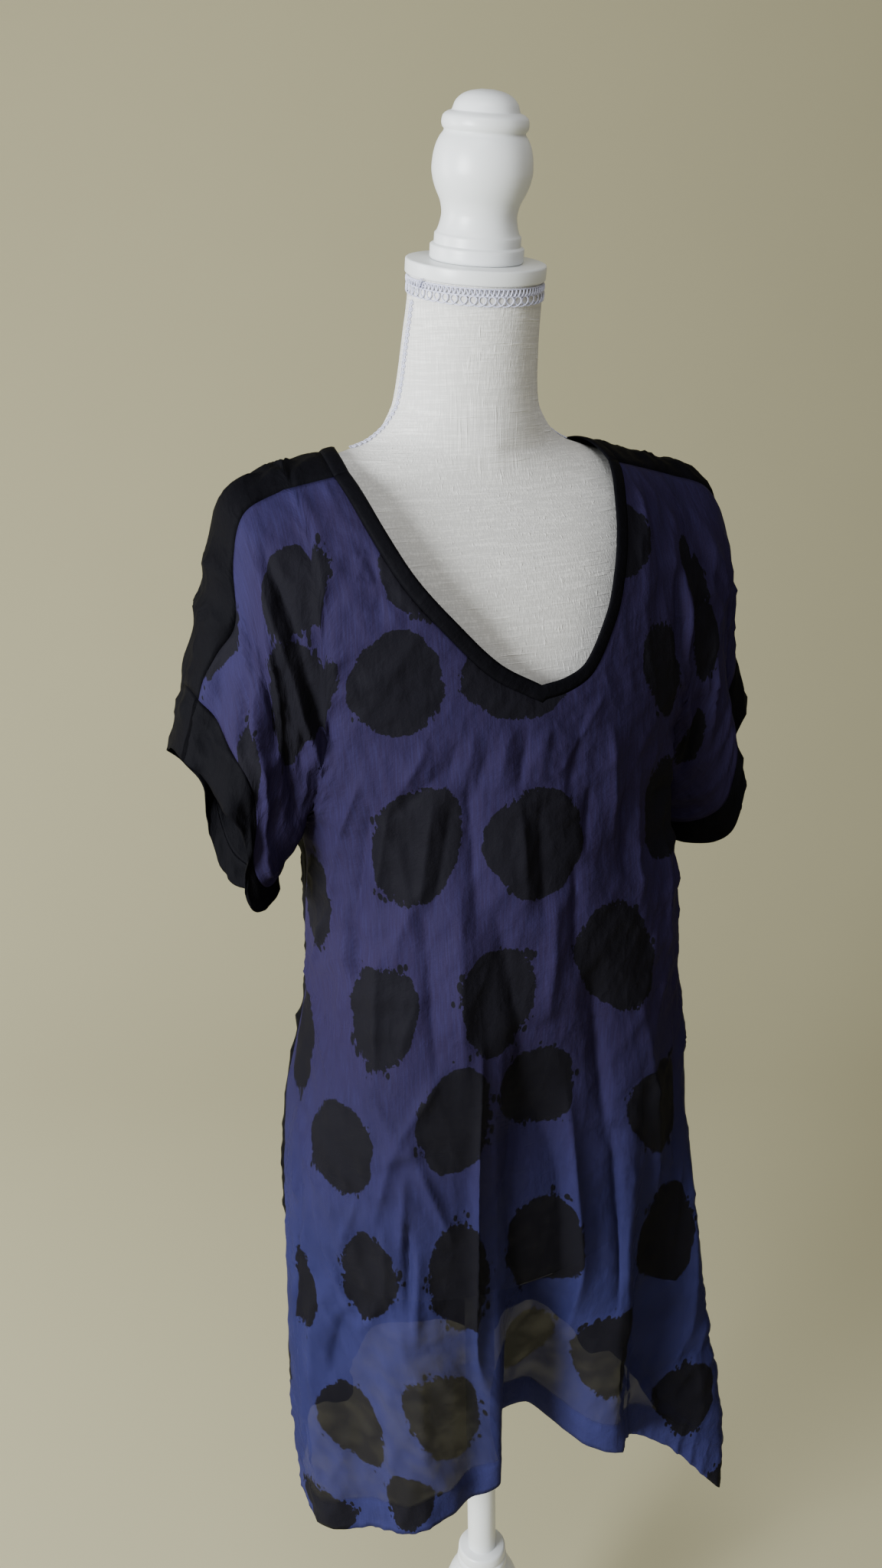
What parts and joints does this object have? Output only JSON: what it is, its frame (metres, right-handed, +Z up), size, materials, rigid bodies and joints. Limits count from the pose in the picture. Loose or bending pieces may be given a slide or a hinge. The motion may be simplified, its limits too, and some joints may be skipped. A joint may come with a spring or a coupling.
{
  "type": "tunic top on a dress form",
  "caption": "Short-sleeved V-neck tunic top with a spotted front, black back and cuffs, worn on a limbless linen dress form with a turned finial, pole and round base.",
  "frame": {"origin": "centre of the base's underside, on the floor under the pole", "axes": "+Z up the pole, -Y the way the front of the form faces, +X towards the wearer's left arm"},
  "size_m": [0.5125, 0.34, 1.6609],
  "materials": {
    "print_cloth": "thin indigo viscose with large black spots, matt",
    "black_cloth": "thin black viscose, matt",
    "linen": "slubbed off-white linen over padding",
    "braid": "looped gimp braid, slight sheen",
    "white_paint": "satin white paint on turned wood"
  },
  "bodies": {
    "root": {"tunic_front": "print_cloth", "tunic_back": "black_cloth", "neckband_front": "black_cloth", "neckband_back": "black_cloth", "cuff_right_arm": "black_cloth", "cuff_left_arm": "black_cloth", "form_torso": "linen", "neck_braid": "braid", "side_braid_right": "braid", "side_braid_left": "braid", "neck_cap": "white_paint", "finial": "white_paint", "pole": "white_paint", "stand_column": "white_paint", "base": "white_paint"}
  },
  "joints": []
}
